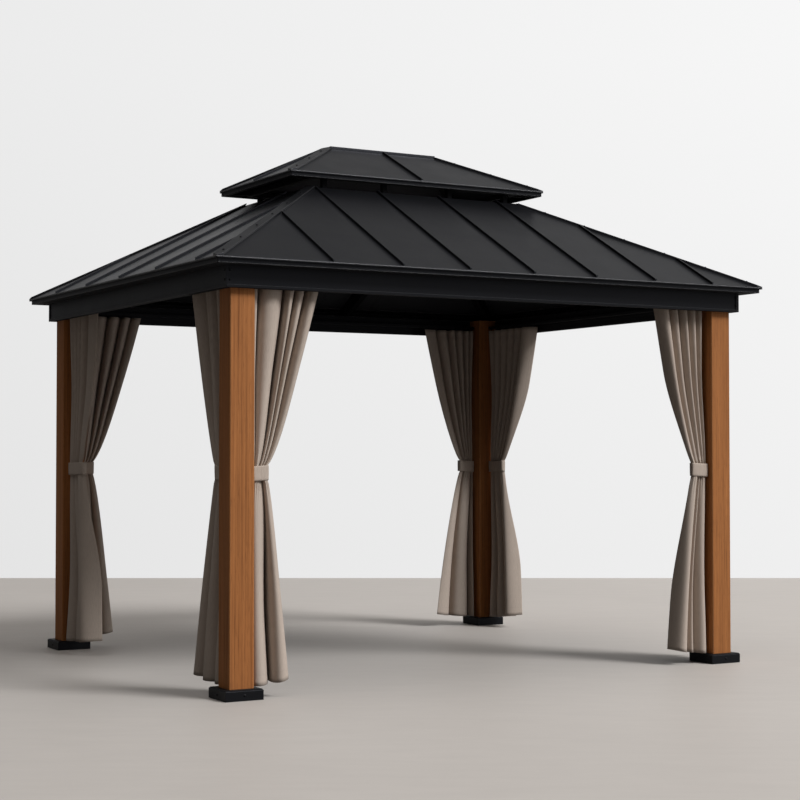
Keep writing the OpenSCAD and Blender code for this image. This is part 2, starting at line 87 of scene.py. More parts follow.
# Linear colours
ROOF = (0.0055, 0.0057, 0.0068)
BLACK = (0.0045, 0.0047, 0.0054)
# Near-black matt steel of the frame, darker than a real coat so that the struts under the upper roof read as
# shade: partly painted shade. Faces that look down get the same colour, a matt back coat that is partly
# painted shade under the roof and trims
STEEL = (0.0030, 0.0030, 0.0032)
BACK_COAT_AND_SHADE = STEEL
# Pale colour painted on the coats' upper edges: a painted highlight in place of light caught on their rounded
# edges
EDGE_HIGHLIGHT_PAINT = (0.46, 0.46, 0.47)
COAT_TINT = (0.85, 0.875, 1.0)
WOOD_EDGE_HIGHLIGHT = (0.64, 0.340, 0.165)
WOOD_LIGHT = (0.52, 0.209, 0.068)
WOOD_MIDDLE = (0.405, 0.151, 0.045)
WOOD_DARK = (0.125, 0.042, 0.014)
CLOTH = (0.59, 0.500, 0.430)
CLOTH_THREAD = (0.48, 0.400, 0.340)
FLOOR = (0.555, 0.521, 0.491)
FLOOR_BOUNCE = (0.11, 0.101, 0.094)

# Weave: distance between threads, and between the bands of a wave texture whose scale is 1
THREAD_PITCH = 0.0015
WAVE_PERIOD = math.pi / 10

# Curtains: drawn back along the rail and held by a tieback beside the post
CURTAIN_TOP = 2.153
CURTAIN_CLEAR = 0.010
CURTAIN_COLUMNS = 180
CURTAIN_ROWS = 90
PANEL = (0.78, 2.12)
CLOTH_THICKNESS = 0.0012
HEM_LIFT = 0.030
SWEEP = 0.75
FIRST_SEED = 11
SAMPLES = np.linspace(0.0, 1.0, 481)
FULL_TURN = 2 * math.pi

# Tiebacks: bands of cloth round the curtains' waists
TIE_MIDDLE = 1.165
TIE_HEIGHT = 0.078
TIE_TOP = TIE_MIDDLE + TIE_HEIGHT / 2
TIE_BOTTOM = TIE_MIDDLE - TIE_HEIGHT / 2
TIE_COLUMNS = 96
TIE_ROWS = 10
TIE_HALF = 0.0195
TIE_THICKNESS = 0.0026
TIE_CLEAR = 0.0015
TIE_SLACK = 0.005
TIE_PUFF = 0.05
TIE_RIPPLE = 0.0012
TIE_SAG = 0.006
TIE_SQUARENESS = 0.5

# Shape of a fold: how far its foot is pinched, and how its ridge, which is blunter on a wide fold, leans away
# from the post, or back towards it on the left curtains of the front and back rails
PINCH = 0.64
RIDGE = 0.52
RIDGE_WIDTH = 0.065
RIDGE_POWER = 0.8
RIDGE_RANGE = (0.14, 0.75)
LEAN = 0.06
LEAN_LEFT = -0.44

# How unlike each other folds are: their heights, how high their feet lie, and how their widths wander on the
# way down
FOLD_HEIGHTS = (0.80, 1.0)
FOLD_FLOORS = (0.0, 0.20)
WANDER = 0.14
WANDER_RATE = 3.4

# A free edge that turns further than ROUND_TURN ends in a round fold, and the other folds stand lower
ROUND_TURN = 0.80
ROUND_RIDGE = 0.60
BEHIND_ROUND = 0.84

# How deep the folds reach and how far their ridges stand out of the rail's plane, and how soon they open
TIE_FOLDS = (0.034, 0.017)
RAIL_FOLDS = (0.140, 0.040)
ROOM_FOLDS = (0.120, 0.076)
HEM_FOLDS = (0.160, 0.066)
OPENS_ABOVE = 1.7
OPENS_BELOW = 1.4

# Small gathers beside the tieback, and slow waves out of the rail's plane and along it
GATHERS = 9
GATHER_DEPTH = 0.0035
GATHER_START = 0.02
GATHER_END = 0.055
WAVE_DEPTH = 0.004
WAVE_SHIFT = 0.030

# Each curtain's width at the rail, at its tieback and at its hem, the shares of that width which its folds
# take above and below the tieback, from the post outwards, and where in its turn the free edge stops there
DRAWN = {
    "curtain_front_left": ((0.386, 0.082, 0.188), (14, 33, 16, 18, 19), (60, 40), 0.66, 0.66),
    "curtain_front_right": ((0.345, 0.105, 0.265), (14, 16, 19, 23, 28), (36, 16, 48), 0.86, 0.86),
    "curtain_back_left": ((0.395, 0.080, 0.215), (18, 24, 20, 22, 16), (40, 25, 35), 0.62, 0.62),
    "curtain_back_right": ((0.435, 0.112, 0.330), (14, 12, 14, 13, 18, 29), (10, 54, 36), 0.62, 0.62),
    "curtain_left_front": ((0.400, 0.120, 0.300), (16, 22, 14, 28, 20), (30, 46, 24), 0.62, 0.62),
    "curtain_left_back": ((0.545, 0.250, 0.425), (20, 13, 15, 12, 40), (26, 32, 42), 0.60, 0.92),
    "curtain_right_front": ((0.430, 0.140, 0.290), (16, 20, 24, 18, 22), (36, 28, 36), 0.62, 0.62),
    "curtain_right_back": ((0.570, 0.165, 0.295), (16, 15, 14, 16, 21, 18), (28, 38, 34), 0.93, 0.93),
}

# Curtains whose folds face the room
FACING_ROOM = ("curtain_back_left", "curtain_back_right", "curtain_right_back", "curtain_right_front")

# Screws: the profile of a pan head as (radius, height), and where they sit, as shares of a run or in metres
SCREW_HEAD = ((0.0075, 0.0), (0.0075, 0.0010), (0.0058, 0.0014),
              (0.0052, 0.0030), (0.0030, 0.0042), (0.0012, 0.0045))
SCREW_SINK = 0.0003
HIP_SCREWS = [0.06 + 0.165 * step for step in range(6)]
UPPER_HIP_SCREWS = [0.14 + 0.33 * step for step in range(3)]
RIDGE_SCREWS = (0.7, 0.0, -0.7)
STRIP_SCREWS = (0.25, 0.75)
STRIP_EDGE = 0.020
FOOT_SCREW_HEIGHT = 0.028

# Curtain gliders: their profile, and how far they reach down into the heading
GLIDER = ((0.0020, 0.0), (0.0045, 0.0010), (0.0045, 0.0070), (0.0030, 0.0085), (0.0030, 0.0165))
GLIDER_SINK = 0.001

# A place well outside the gazebo, from which lines are cast at it
FAR = 4


def smooth(t):
    """0 to 1 with an easy start and end."""
    t = min(1.0, max(0.0, t))
    return t * t * (3 - 2 * t)


def lerp(a, b, t):
    return a + (b - a) * t


def scaled(colour, factor):
    return tuple(factor * c for c in colour)


def new_mesh(name, points, faces, material, round_shaded=True):
    """A mesh object in the scene, with one material."""
    mesh = bpy.data.meshes.new(name)
    mesh.from_pydata(points, [], faces)
    mesh.update()
    mesh.materials.append(material)
    mesh.polygons.foreach_set("use_smooth", [round_shaded] * len(mesh.polygons))
    piece = bpy.data.objects.new(name, mesh)
    bpy.context.scene.collection.objects.link(piece)
    return piece


def grid_faces(columns, rows):
    """The four-sided faces of a grid whose points are listed row by row."""
    faces = []
    for row in range(rows):
        for column in range(columns):
            a = row * (columns + 1) + column
            faces.append((a, a + 1, a + columns + 2, a + columns + 1))
    return faces


class Shader:
    """The node tree of a material or world, with short calls that add nodes and pass sockets on."""

    def __init__(self, owner):
        owner.use_nodes = True
        self.owner = owner
        self.tree = owner.node_tree

    def put(self, socket, value):
        """Joins a socket to another, or sets its value."""
        if isinstance(value, bpy.types.NodeSocket):
            self.tree.links.new(value, socket)
        elif socket.type == "RGBA":
            socket.default_value = (*value, 1.0)
        else:
            socket.default_value = value

    def add(self, kind, inputs=(), **settings):
        node = self.tree.nodes.new("ShaderNode" + kind)
        for key, value in settings.items():
            setattr(node, key, value)
        for key, value in dict(inputs).items():
            self.put(node.inputs[key], value)
        return node

    def object_place(self, scale=(1, 1, 1)):
        place = self.add("TexCoord").outputs["Object"]
        return self.stretched(place, scale)

    def stretched(self, place, scale):
        return self.add("Mapping", {"Vector": place, "Scale": scale}).outputs[0]

    def noise(self, vector, scale=1.0, detail=2.0, rough=0.5, distortion=0.0):
        inputs = {"Vector": vector, "Scale": scale, "Detail": detail, "Roughness": rough,
                  "Distortion": distortion}
        return self.add("TexNoise", inputs).outputs["Fac"]

    def ramp(self, value, low, high, to_low=0.0, to_high=1.0):
        """Carries the range from low to high over to another one, and stops at its ends."""
        inputs = {"Value": value, "From Min": low, "From Max": high, "To Min": to_low, "To Max": to_high}
        return self.add("MapRange", inputs).outputs["Result"]

    def maths(self, operation, a, b=0.0):
        return self.add("Math", {0: a, 1: b}, operation=operation).outputs[0]

    def times(self, a, b):
        return self.maths("MULTIPLY", a, b)

    def dot(self, a, b):
        return self.add("VectorMath", {0: a, 1: b}, operation="DOT_PRODUCT").outputs["Value"]

    def upward(self, vector):
        return self.add("SeparateXYZ", {0: vector}).outputs["Z"]

    def blend(self, share, a, b):
        node = self.add("Mix", {0: share}, data_type="RGBA")
        self.put(node.inputs[6], a)
        self.put(node.inputs[7], b)
        return node.outputs[2]

    def bump(self, height, strength, distance, normal=None):
        inputs = {"Height": height, "Strength": strength, "Distance": distance}
        if normal is not None:
            inputs["Normal"] = normal
        return self.add("Bump", inputs).outputs[0]

    def rounded(self, radius):
        return self.add("Bevel", {"Radius": radius}, samples=4).outputs[0]

    def edges(self, round_normal, low, high):
        """1 along sharp edges and 0 on the faces, from how far the rounded normal turns."""
        face = self.add("NewGeometry").outputs["Normal"]
        return self.ramp(self.maths("SUBTRACT", 1.0, self.dot(round_normal, face)), low, high)

    def facing_up(self):
        """0 on faces that look down and 1 on the others."""
        return self.ramp(self.upward(self.add("NewGeometry").outputs["Normal"]), -0.30, -0.15)

    def seen_ray(self):
        """1 where the stage is seen, also in a reflection, and 0 where it only lights the object."""
        ray = self.add("LightPath").outputs
        mirrored = self.maths("MAXIMUM", ray["Is Glossy Ray"], ray["Is Transmission Ray"])
        return self.maths("MAXIMUM", ray["Is Camera Ray"], mirrored)

    def finish(self, **values):
        """Sets the surface's sockets, named with underscores for spaces, and gives the material."""
        surface = self.tree.nodes["Principled BSDF"]
        for key, value in values.items():
            self.put(surface.inputs[key.replace("_", " ")], value)
        return self.owner


def coated_metal(name, colour, roughness, specular, edge_radius, edge_light=0.0, canning=0.0):
    """Powder coat: fine orange peel, cloudy gloss, upper edges paled as a painted highlight, a matt back coat
    that is also darkened as painted shade, and slight canning.
    """
    s = Shader(bpy.data.materials.new(name))
    place = s.object_place()
    cloud = s.noise(place, scale=2.3, detail=4.0, rough=0.6)
    peel = s.noise(place, scale=620.0)
    rounded = s.rounded(edge_radius)
    edge = s.edges(rounded, 0.005, 0.09)
    top = s.facing_up()
    faded = s.blend(s.ramp(cloud, 0.35, 0.7), colour, scaled(colour, 1.16))
    # Painted highlight: sharp edges that look upwards are paled by edge_light, as if they caught the light
    # from above
    upper = s.ramp(s.upward(rounded), 0.04, 0.24)
    highlighted_edge = s.blend(s.times(s.times(edge, upper), edge_light), faded, EDGE_HIGHLIGHT_PAINT)
    normal = s.bump(peel, strength=0.12, distance=0.0004, normal=rounded)
    if canning:
        wave = s.noise(place, scale=1.7, detail=1.0, rough=0.4)
        normal = s.bump(wave, strength=canning, distance=0.02, normal=normal)
    gloss = s.ramp(cloud, 0.3, 0.75, roughness - 0.04, roughness + 0.05)
    gloss = s.maths("SUBTRACT", gloss, s.times(edge, 0.12))
    gloss = s.maths("MAXIMUM", gloss, s.ramp(top, 0.0, 1.0, 0.95, 0.0))
    # Faces that look down take the back coat's colour: a real matt back coat, and painted shade under things
    return s.finish(Base_Color=s.blend(top, BACK_COAT_AND_SHADE, highlighted_edge), Roughness=gloss, Normal=normal,
                    Specular_IOR_Level=specular, Specular_Tint=COAT_TINT)


def wood_grain(name):
    """Printed wood grain that runs up the posts: broad tone, wavy figure, fine fibres, short pores, and a
    painted highlight along the edges.
    """
    s = Shader(bpy.data.materials.new(name))
    tone = s.noise(s.object_place((3.1, 3.1, 0.5)))
    fibre = s.noise(s.object_place((75, 75, 1.3)), detail=5.0, rough=0.62, distortion=0.3)
    streak = s.noise(s.object_place((260, 260, 2.4)), detail=3.0, rough=0.6)
    pores = s.noise(s.object_place((420, 420, 14)), detail=1.0)
    figure = s.add("TexWave", {"Vector": s.object_place((11, 11, 0.42)), "Scale": 1.6, "Distortion": 7.5,
                               "Detail": 3.0, "Detail Scale": 1.3, "Detail Roughness": 0.6}).outputs["Fac"]
    grain = s.maths("ADD", s.times(fibre, 0.62), s.times(streak, 0.38))
    colour = s.blend(s.ramp(grain, 0.36, 0.62), WOOD_DARK, WOOD_LIGHT)
    colour = s.blend(s.ramp(figure, 0.0, 1.0, 0.30, 0.75), colour, WOOD_MIDDLE)
    colour = s.blend(s.ramp(tone, 0.35, 0.65, 0.0, 0.28), colour, WOOD_LIGHT)
    colour = s.blend(s.ramp(pores, 0.60, 0.72, 0.0, 0.45), colour, WOOD_DARK)
    rounded = s.rounded(0.006)
    edge = s.edges(rounded, 0.01, 0.2)
    # Painted highlight: the posts' rounded edges are paled, as if they caught the light
    colour = s.blend(s.times(edge, 0.85), colour, WOOD_EDGE_HIGHLIGHT)
    normal = s.bump(grain, strength=0.22, distance=0.0006, normal=rounded)
    gloss = s.ramp(grain, 0.35, 0.65, 0.66, 0.56)
    return s.finish(Base_Color=colour, Roughness=gloss, Normal=normal, Specular_IOR_Level=0.15)


def woven_cloth(name, side_seam, end_seam, stitch):
    """Plain weave in the cloth's own metres, with sewn hems at these distances from its edges."""
    s = Shader(bpy.data.materials.new(name))
    weave_place = s.add("UVMap", uv_map="cloth").outputs[0]
    crossing = s.add("TexChecker", {"Vector": weave_place, "Scale": 1 / THREAD_PITCH}).outputs["Fac"]
    threads = []
    for direction in ("X", "Y"):
        inputs = {"Vector": weave_place, "Scale": WAVE_PERIOD / THREAD_PITCH, "Distortion": 0.4}
        threads.append(s.add("TexWave", inputs, bands_direction=direction).outputs["Fac"])
    weave = s.blend(crossing, threads[0], threads[1])
    slub = s.noise(s.stretched(weave_place, (700, 24, 1)))
    cloud = s.noise(weave_place, scale=5.0, detail=3.0, rough=0.6)
    along = s.add("SeparateXYZ", {0: weave_place}).outputs
    seams = []
    for attribute, distance, run in (("from_side", side_seam, along[1]), ("from_end", end_seam, along[0])):
        reach = s.add("Attribute", attribute_name=attribute).outputs["Fac"]
        off = s.maths("ABSOLUTE", s.maths("SUBTRACT", reach, distance))
        groove = s.ramp(off, 0.0, 0.0035, 1.0, 0.0)
        dash = s.ramp(s.maths("SINE", s.times(run, FULL_TURN / stitch)), -0.4, 0.2)
        thread = s.times(s.ramp(off, 0.0006, 0.0013, 1.0, 0.0), dash)
        seams.append((groove, thread))
    groove = s.maths("MAXIMUM", seams[0][0], seams[1][0])
    thread = s.maths("MAXIMUM", seams[0][1], seams[1][1])
    colour = s.blend(s.ramp(slub, 0.35, 0.68), CLOTH, CLOTH_THREAD)
    colour = s.blend(s.ramp(cloud, 0.3, 0.7, 0.0, 0.35), colour, CLOTH_THREAD)
    # Painted shade: the cloth darkens in the grooves beside the seams
    colour = s.blend(s.times(groove, 0.35), colour, scaled(CLOTH_THREAD, 0.55))
    colour = s.blend(thread, colour, scaled(CLOTH, 1.12))
    height = s.maths("ADD", s.times(weave, 0.3), s.times(slub, 0.3))
    normal = s.bump(height, strength=0.25, distance=0.0006)
    normal = s.bump(s.maths("SUBTRACT", thread, groove), strength=0.4, distance=0.0010, normal=normal)
    return s.finish(Base_Color=colour, Roughness=0.86, Normal=normal, Specular_IOR_Level=0.15,
                    Sheen_Weight=0.10, Sheen_Roughness=0.5)


def moulded_plastic(name):
    """Black plastic of the curtain gliders, with a fine spark-eroded surface."""
    s = Shader(bpy.data.materials.new(name))
    grain = s.noise(s.object_place(), scale=900.0)
    return s.finish(Base_Color=s.blend(grain, BLACK, STEEL), Roughness=s.ramp(grain, 0.3, 0.7, 0.42, 0.55),
                    Normal=s.bump(grain, strength=0.15, distance=0.0002), Specular_IOR_Level=0.30)


# The coats below carry painted highlights on their upper edges, set by edge_light: faint on the black trims
# and caps, strong on the eaves
FINISHES = {
    "post_wood": wood_grain("post_wood"),
    "trim_black": coated_metal("trim_black", BLACK, roughness=0.46, specular=0.12,
                               edge_radius=0.0030, edge_light=0.12),
    "roof_sheet": coated_metal("roof_sheet", ROOF, roughness=0.33, specular=0.44,
                               edge_radius=0.0015, canning=0.10),
    "frame_steel": coated_metal("frame_steel", STEEL, roughness=0.75, specular=0.06, edge_radius=0.0020),
    "curtain": woven_cloth("curtain", side_seam=0.022, end_seam=0.055, stitch=0.006),
}
EAVE_COAT = coated_metal("eave_trim", BLACK, roughness=0.46, specular=0.12,
                         edge_radius=0.0060, edge_light=0.85)
CAP_COAT = coated_metal("roof_cap", ROOF, roughness=0.37, specular=0.38,
                        edge_radius=0.0040, edge_light=0.15)
TIE_CLOTH = woven_cloth("tieback", side_seam=0.0065, end_seam=0.0065, stitch=0.005)
PLASTIC = moulded_plastic("glider_plastic")


def dress_frame():
    """Gives each CAD node the finish of its slot in the record, and the eaves and caps one of their own."""
    for part in frame["record"]["subparts"]:
        finish = FINISHES[part["material_slot"]]
        if "eave" in part["node"]:
            finish = EAVE_COAT
        elif part["node"].endswith(("_cap", "_caps")):
            finish = CAP_COAT
        for slot in frame["nodes"][part["node"]].material_slots:
            slot.material = finish


class Folds:
    """Hanging folds that share out a curtain's width: broad and round outside, narrow and sharp inside."""

    def __init__(self, rng, shares, last_turn, lean):
        self.shares = np.array(shares, dtype=float)
        self.last_turn = last_turn
        self.lean = lean
        self.heights = np.array([rng.uniform(*FOLD_HEIGHTS) for _ in shares])
        self.drift = np.array([rng.uniform(0, FULL_TURN) for _ in shares])
        self.floors = np.array([rng.uniform(*FOLD_FLOORS) for _ in shares] + [0.0])
        self.round_edge = last_turn > ROUND_TURN
        if self.round_edge:
            self.heights[:-1] *= BEHIND_ROUND

    def row(self, fall, total):
        """Sides and depths from 0 to 1 across cloth of this total width, at this share of its fall."""
        widths = self.shares * (1 + WANDER * np.sin(WANDER_RATE * fall + self.drift))
        widths = widths / widths.sum()
        starts = np.concatenate(([0.0], np.cumsum(widths)[:-1]))
        fold = np.searchsorted(starts, SAMPLES, side="right") - 1
        part = np.where(fold == len(starts) - 1, self.last_turn, 1.0)
        turn = (SAMPLES - starts[fold]) / widths[fold] * part
        angle = FULL_TURN * turn
        bluntness = np.clip(RIDGE * (RIDGE_WIDTH / (widths * total)) ** RIDGE_POWER, *RIDGE_RANGE)
        if self.round_edge:
            bluntness[-1] = ROUND_RIDGE
        floor = lerp(self.floors[fold], self.floors[fold + 1], turn)
        rise = lerp(floor, 1.0, (0.5 - 0.5 * np.cos(angle)) ** bluntness[fold])
        side = starts[fold] + widths[fold] / part * (turn - PINCH / FULL_TURN * np.sin(angle))
        side = side + self.lean / len(starts) * rise
        return (side - side.min()) / (side.max() - side.min()), rise * self.heights[fold]


def rail_frame(name):
    """(point on the rail at the post's face, direction away from the post, direction out of the gazebo)."""
    side, corner = name.split("_")[1:]
    post = f"post_{side}_{corner}" if side in ("front", "back") else f"post_{corner}_{side}"
    post_low, post_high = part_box(post)
    low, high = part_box(name)
    middle = (low + high) / 2
    sign_x = math.copysign(1, middle.x)
    sign_y = math.copysign(1, middle.y)
    if side in ("front", "back"):
        face = post_high.x if sign_x < 0 else post_low.x
        return Vector((face, middle.y, 0)), Vector((-sign_x, 0, 0)), Vector((0, sign_y, 0))
    face = post_high.y if sign_y < 0 else post_low.y
    return Vector((middle.x, face, 0)), Vector((0, -sign_y, 0)), Vector((sign_x, 0, 0))


class Curtain:
    """A curtain that hangs from the rail beside a post, with its own folds above and below its tieback."""

    def __init__(self, name, seed, widths, above, below, turn_above, turn_below):
        rng = random.Random(seed)
        self.name = name
        self.origin, self.along, self.out = rail_frame(name)
        self.hem_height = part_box(name)[0].z
        self.top, self.waist, self.hem = widths
        self.faces_room = name in FACING_ROOM
        lean = LEAN_LEFT if name.endswith("_left") else LEAN
        self.above = Folds(rng, above, turn_above, lean)
        self.below = Folds(rng, below, turn_below, lean)
        self.sway = [rng.uniform(0, FULL_TURN) for _ in range(4)]

    def width(self, up, down):
        return self.waist + (self.top - self.waist) * up ** SWEEP + (self.hem - self.waist) * down ** SWEEP

    def row(self, fall):
        """Places along the rail, out of its plane and up, evenly spaced across the cloth."""
        z = lerp(CURTAIN_TOP, self.hem_height, fall)
        up = max(0.0, (z - TIE_TOP) / (CURTAIN_TOP - TIE_TOP))
        down = max(0.0, (TIE_BOTTOM - z) / (TIE_BOTTOM - self.hem_height))
        loose = max(up, down)
        width = self.width(up, down)
        side_up, rise_up = self.above.row(fall, width)
        side_down, rise_down = self.below.row(fall, width)
        tie_reach, tie_ridge = TIE_FOLDS
        rail_reach, rail_ridge = ROOM_FOLDS if self.faces_room else RAIL_FOLDS
        hem_reach, hem_ridge = HEM_FOLDS
        reach_up = lerp(tie_reach, rail_reach, smooth(up * OPENS_ABOVE))
        reach_down = lerp(tie_reach, hem_reach, smooth(down * OPENS_BELOW))
        depth_up = lerp(tie_ridge, rail_ridge, up) - (1 - rise_up) * reach_up
        depth_down = lerp(tie_ridge, hem_ridge, down) - (1 - rise_down) * reach_down
        share = smooth((z - TIE_BOTTOM) / TIE_HEIGHT)
        side = lerp(side_down, side_up, share)
        depth = lerp(depth_down, depth_up, share)
        gather = GATHER_DEPTH * math.exp(-loose / GATHER_END) * smooth(loose / GATHER_START)
        depth = depth + gather * np.sin(FULL_TURN * GATHERS * side + self.sway[3])
        wave = np.sin(2.6 * z + 5 * side + self.sway[0]) + 0.6 * np.sin(6.1 * z - 3 * side + self.sway[1])
        depth = depth + WAVE_DEPTH * loose * wave
        shift = WAVE_SHIFT * np.sin(3.4 * z + 7 * side + self.sway[2]) * smooth(4 * loose)
        along = width * (side + shift * side * (1 - side))
        height = z + HEM_LIFT * smooth(down) * side * side
        length = np.concatenate(([0.0], np.cumsum(np.hypot(np.diff(along), np.diff(depth)))))
        even = np.linspace(0.0, length[-1], CURTAIN_COLUMNS + 1)
        return [np.interp(even, length, values) for values in (along, depth, height)]

    def build(self):
        facing = -self.out if self.faces_room else self.out
        points = []
        for row in range(CURTAIN_ROWS + 1):
            for side, depth, z in zip(*self.row(row / CURTAIN_ROWS)):
                place = self.origin + self.along * (CURTAIN_CLEAR + side) + facing * depth
                points.append((place.x, place.y, z))
        faces = grid_faces(CURTAIN_COLUMNS, CURTAIN_ROWS)
        return new_mesh("cloth_" + self.name, points, faces, FINISHES["curtain"])


def mark_cloth(piece, columns, rows, flat):
    """Lays the cloth's flat metres out as its UV map, and keeps each point's distance from the edges."""
    width, length = flat
    mesh = piece.data
    flat_place = [(i % (columns + 1) / columns * width, length * (1 - i // (columns + 1) / rows))
                  for i in range(len(mesh.vertices))]
    layer = mesh.uv_layers.new(name="cloth")
    for loop in mesh.loops:
        layer.data[loop.index].uv = flat_place[loop.vertex_index]
    from_side = mesh.attributes.new("from_side", "FLOAT", "POINT")
    from_end = mesh.attributes.new("from_end", "FLOAT", "POINT")
    from_side.data.foreach_set("value", [min(u, width - u) for u, v in flat_place])
    from_end.data.foreach_set("value", [min(v, length - v) for u, v in flat_place])


def thicken(piece, thickness):
    piece.modifiers.new("thickness", "SOLIDIFY").thickness = thickness
    piece.modifiers["thickness"].offset = 0.0


def hang_curtains(curtains):
    for curtain in curtains:
        piece = curtain.build()
        mark_cloth(piece, CURTAIN_COLUMNS, CURTAIN_ROWS, PANEL)
        thicken(piece, CLOTH_THICKNESS)
        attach(piece, "root")
        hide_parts(curtain.name)


def tie_curtains(curtains):
    """A fabric band laid round each curtain's waist, from the post's face out and back."""
    for curtain in curtains:
        reach = CURTAIN_CLEAR + curtain.waist + TIE_SLACK
        points = []
        for row in range(TIE_ROWS + 1):
            level = row / TIE_ROWS
            puff = 1 + TIE_PUFF * (1 - (2 * level - 1) ** 2)
            for column in range(TIE_COLUMNS + 1):
                turn = FULL_TURN * column / TIE_COLUMNS
                c, s = math.cos(turn), math.sin(turn)
                side = reach / 2 * (1 + math.copysign(abs(c) ** TIE_SQUARENESS, c))
                depth = TIE_HALF * puff * math.copysign(abs(s) ** TIE_SQUARENESS, s)
                depth += TIE_RIPPLE * math.sin(3 * turn + 2 * level)
                place = curtain.origin + curtain.along * (TIE_CLEAR + side) + curtain.out * depth
                sag = TIE_SAG * (1 - side / reach)
                points.append((place.x, place.y, TIE_MIDDLE + TIE_HEIGHT * (0.5 - level) - sag))
        piece = new_mesh("tie_" + curtain.name, points, grid_faces(TIE_COLUMNS, TIE_ROWS), TIE_CLOTH)
        flat = (2 * reach + 2 * TIE_HALF, TIE_HEIGHT)
        mark_cloth(piece, TIE_COLUMNS, TIE_ROWS, flat)
        thicken(piece, TIE_THICKNESS)
        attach(piece, "root")
        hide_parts("tiebacks")


def join_shapes(name, shapes, material):
    """One piece from many small shapes, each given as (points, faces)."""
    points, faces = [], []
    for shape_points, shape_faces in shapes:
        faces.extend(tuple(len(points) + i for i in face) for face in shape_faces)
        points.extend(shape_points)
    piece = new_mesh(name, points, faces, material)
    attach(piece, "root")


def turned(place, axis, profile, sides=12):
    """A turned shape round an axis from a profile of (radius, height) pairs, closed at both ends."""
    across = axis.orthogonal().normalized()
    beside = axis.cross(across)
    points, faces = [], []
    for radius, height in profile:
        for step in range(sides):
            turn = FULL_TURN * step / sides
            spoke = across * math.cos(turn) + beside * math.sin(turn)
            points.append(tuple(place + spoke * radius + axis * height))
    for ring in range(len(profile) - 1):
        for step in range(sides):
            a, b = ring * sides + step, ring * sides + (step + 1) % sides
            faces.append((a, b, b + sides, a + sides))
    faces.append(tuple(len(points) - sides + step for step in range(sides)))
    faces.append(tuple(reversed(range(sides))))
    return points, faces


def hit(node, start, direction):
    """Where a line from a point first meets a CAD node, and the outward direction there."""
    found, place, normal, _ = frame["nodes"][node].ray_cast(Vector(start), Vector(direction))
    if not found:
        raise ValueError(f"nothing of {node} lies that way")
    return place, normal


def drive_screws():
    """Painted pan-head screws along the roof caps, the beam corners and the foot covers."""
    screws = []

    def drive(node, start, direction):
        place, normal = hit(node, start, direction)
        screws.append(turned(place - normal * SCREW_SINK, normal, SCREW_HEAD))

    down = (0, 0, -1)
    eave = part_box("roof_front")[0]
    vent = Vector((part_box("roof_left")[1].x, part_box("roof_front")[1].y, 0))
    upper_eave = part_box("upper_front")[0]
    ridge_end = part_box("upper_left")[1].x
    strip_low, strip_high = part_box("beam_corner_strips")
    strip_x, strip_y = strip_high.x - STRIP_EDGE, strip_high.y - STRIP_EDGE
    post_low, post_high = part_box("post_front_left")
    post = (post_low + post_high) / 2
    for sign_x in (-1, 1):
        for sign_y in (-1, 1):
            for share in HIP_SCREWS:
                x = lerp(eave.x, vent.x, share) * -sign_x
                y = lerp(eave.y, vent.y, share) * -sign_y
                drive("hip_caps", (x, y, FAR), down)
            for share in UPPER_HIP_SCREWS:
                x = lerp(upper_eave.x, ridge_end, share) * -sign_x
                y = lerp(upper_eave.y, 0, share) * -sign_y
                drive("upper_hip_caps", (x, y, FAR), down)
            for share in STRIP_SCREWS:
                z = lerp(strip_low.z, strip_high.z, share)
                drive("beam_corner_strips", (strip_x * sign_x, FAR * sign_y, z), (0, -sign_y, 0))
                drive("beam_corner_strips", (FAR * sign_x, strip_y * sign_y, z), (-sign_x, 0, 0))
            drive("foot_covers", (-post.x * sign_x, FAR * sign_y, FOOT_SCREW_HEIGHT), (0, -sign_y, 0))
            drive("foot_covers", (FAR * sign_x, -post.y * sign_y, FOOT_SCREW_HEIGHT), (-sign_x, 0, 0))
    for share in RIDGE_SCREWS:
        drive("ridge_cap", (share * ridge_end, 0, FAR), down)
    join_shapes("screws", screws, FINISHES["trim_black"])


def hang_gliders(curtains):
    """A glider and eye at each place where a curtain's heading crosses under the rail's slot."""
    up = Vector((0, 0, 1))
    gliders = []
    for curtain in curtains:
        sides, depths, _ = curtain.row(0.0)
        for i in np.nonzero(np.diff(np.sign(depths)))[0]:
            place = curtain.origin + curtain.along * (CURTAIN_CLEAR + float(sides[i]))
            gliders.append(turned(place + up * (CURTAIN_TOP - GLIDER_SINK), up, GLIDER))
    join_shapes("curtain_gliders", gliders, PLASTIC)


def stage_material(name, colour, roughness):
    """Trowelled floor with soft clouds and streaks, painted lighter towards the right as if lit more from
    there, which throws little light back.
    """
    s = Shader(bpy.data.materials.new(name))
    place = s.object_place()
    cloud = s.ramp(s.noise(place, scale=0.35, detail=4.0, rough=0.55), 0.3, 0.7, -0.10, 0.10)
    right = s.dot(place, tuple(VIEW_RIGHT))
    ahead = s.dot(place, tuple(VIEW_AHEAD))
    swept = s.add("CombineXYZ", {0: s.times(right, 2.5), 1: s.times(ahead, 9.0)}).outputs[0]
    streak = s.ramp(s.noise(swept, detail=5.0, rough=0.65), 0.3, 0.7, -0.12, 0.12)
    # Painted light: the floor is paled towards the right, under its real clouds and streaks
    lit_right_and_mottle = s.maths("ADD", s.ramp(right, -3.5, 3.5), s.maths("ADD", cloud, streak))
    shade = s.blend(lit_right_and_mottle, scaled(colour, 0.90), scaled(colour, 1.12))
    shade = s.blend(s.seen_ray(), FLOOR_BOUNCE, shade)
    return s.finish(Base_Color=shade, Roughness=roughness, Specular_IOR_Level=0.25)


